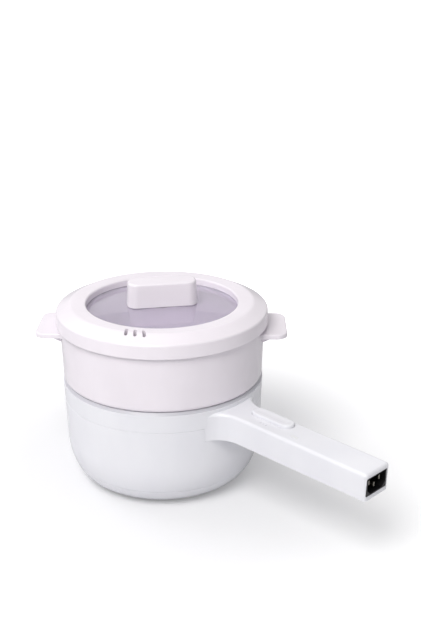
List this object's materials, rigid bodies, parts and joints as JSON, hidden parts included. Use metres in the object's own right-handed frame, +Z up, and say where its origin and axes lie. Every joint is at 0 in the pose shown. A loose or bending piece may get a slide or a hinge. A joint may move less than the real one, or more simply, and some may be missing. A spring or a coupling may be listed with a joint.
{
  "type": "electric hot pot with lid",
  "caption": "Round electric hot pot with a bar handle, a steamer tray with two ears and a lift-off glass lid; power inlet in the handle's end.",
  "frame": {"origin": "on the pot's axis, in the plane of the undersides of its feet", "axes": "+Z up along the pot's axis; +X along the handle, away from the pot"},
  "size_m": [0.3605, 0.2028, 0.1966],
  "materials": {
    "white_plastic": "smooth satin-gloss white polypropylene",
    "rim_plastic": "light grey satin moulding",
    "pot_coating": "light grey non-stick coating on aluminium",
    "tinted_glass": "clear tempered glass, faintly tinted",
    "silicone": "pale translucent silicone",
    "foot_rubber": "grey rubber",
    "cast_aluminium": "as-cast aluminium",
    "sheet_steel": "zinc-plated sheet steel",
    "screw_steel": "bright zinc plating",
    "element_tube": "heat-darkened steel tube",
    "spring_steel": "drawn spring wire",
    "brass_terminal": "plain brass",
    "nickel_pin": "nickel-plated brass",
    "black_plastic": "moulded black plastic",
    "thermostat_body": "cream phenolic",
    "board_laminate": "green solder mask",
    "component_plastic": "blue relay case",
    "light_window": "milky translucent plastic",
    "white_lead": "white silicone insulation",
    "earth_lead": "green and yellow insulation"
  },
  "bodies": {
    "pot": {"upper_housing": "white_plastic", "lower_housing": "white_plastic", "base_cover": "white_plastic", "feet": "foot_rubber", "base_screws": "screw_steel", "rim_ring": "rim_plastic", "rim_gasket": "silicone", "inner_pot": "pot_coating", "heating_plate": "cast_aluminium", "heating_element": "element_tube", "element_terminals": "brass_terminal", "thermostat": "thermostat_body", "thermostat_bracket": "sheet_steel", "bracket_screws": "screw_steel", "thermal_fuse": "sheet_steel", "heat_shield": "sheet_steel", "shield_spacers": "sheet_steel", "earth_lug": "brass_terminal", "earth_screw": "screw_steel", "handle_cover": "white_plastic", "handle_screws": "screw_steel", "circuit_board": "board_laminate", "board_screws": "screw_steel", "board_components": "component_plastic", "button_switch": "black_plastic", "indicator_light": "light_window", "indicator_lens": "light_window", "button_spring": "spring_steel", "inlet_housing": "black_plastic", "inlet_pins": "nickel_pin", "mains_leads": "white_lead", "heater_leads": "white_lead", "earth_lead": "earth_lead"},
    "button": {"power_button": "white_plastic"},
    "steamer": {"steamer_tray": "white_plastic"},
    "lid": {"lid_ring": "white_plastic", "lid_glass": "tinted_glass", "glass_gasket": "silicone", "retaining_ring": "white_plastic", "ring_screws": "screw_steel", "lid_knob": "white_plastic", "knob_washer": "silicone", "screw_washer": "silicone", "knob_screw": "screw_steel"}
  },
  "joints": [
    {"name": "steamer_lift", "type": "slide", "parent": "pot", "child": "steamer", "axis": [0, 0, 1], "range_m": [0, 0.054]},
    {"name": "lid_lift", "type": "slide", "parent": "steamer", "child": "lid", "axis": [0, 0, 1], "range_m": [0, 0.094]},
    {"name": "button_press", "type": "slide", "parent": "pot", "child": "button", "axis": [-0.0111, 0, -0.9999], "range_m": [0, 0.0015], "stiffness_N_per_m": 600, "springref_m": -0.001, "deforming": ["button_spring"]}
  ]
}
